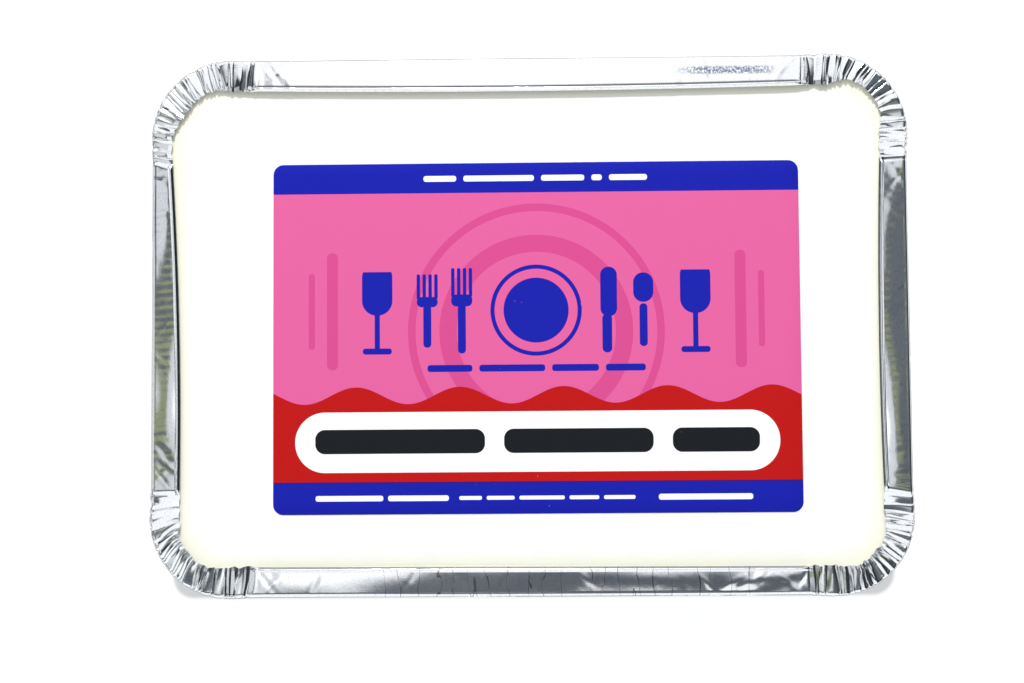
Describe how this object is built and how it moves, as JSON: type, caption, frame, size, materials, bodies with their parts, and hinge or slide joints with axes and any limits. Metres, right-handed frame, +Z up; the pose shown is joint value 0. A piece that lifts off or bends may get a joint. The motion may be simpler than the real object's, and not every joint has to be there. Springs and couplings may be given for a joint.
{
  "type": "foil tray meal",
  "caption": "Closed rectangular aluminium foil tray of prepared food: a board lid held by the folded-in rim, which is gathered at the round corners, with a printed sticker on the lid.",
  "frame": {"origin": "middle of the base, on the surface that the tray stands on", "axes": "+Z up, +X along the long side, +Y to the back, away from the reader of the label"},
  "size_m": [0.2202, 0.1571, 0.042],
  "materials": {
    "foil": "bright thin rolled foil, creased and gathered at the corners",
    "board": "white coated board, matt, with sparse grey fibres",
    "print": "printed sticker, satin, blue, pink, red and white fields"
  },
  "bodies": {
    "root": {"tray": "foil", "lid": "board", "label": "print"}
  },
  "joints": []
}
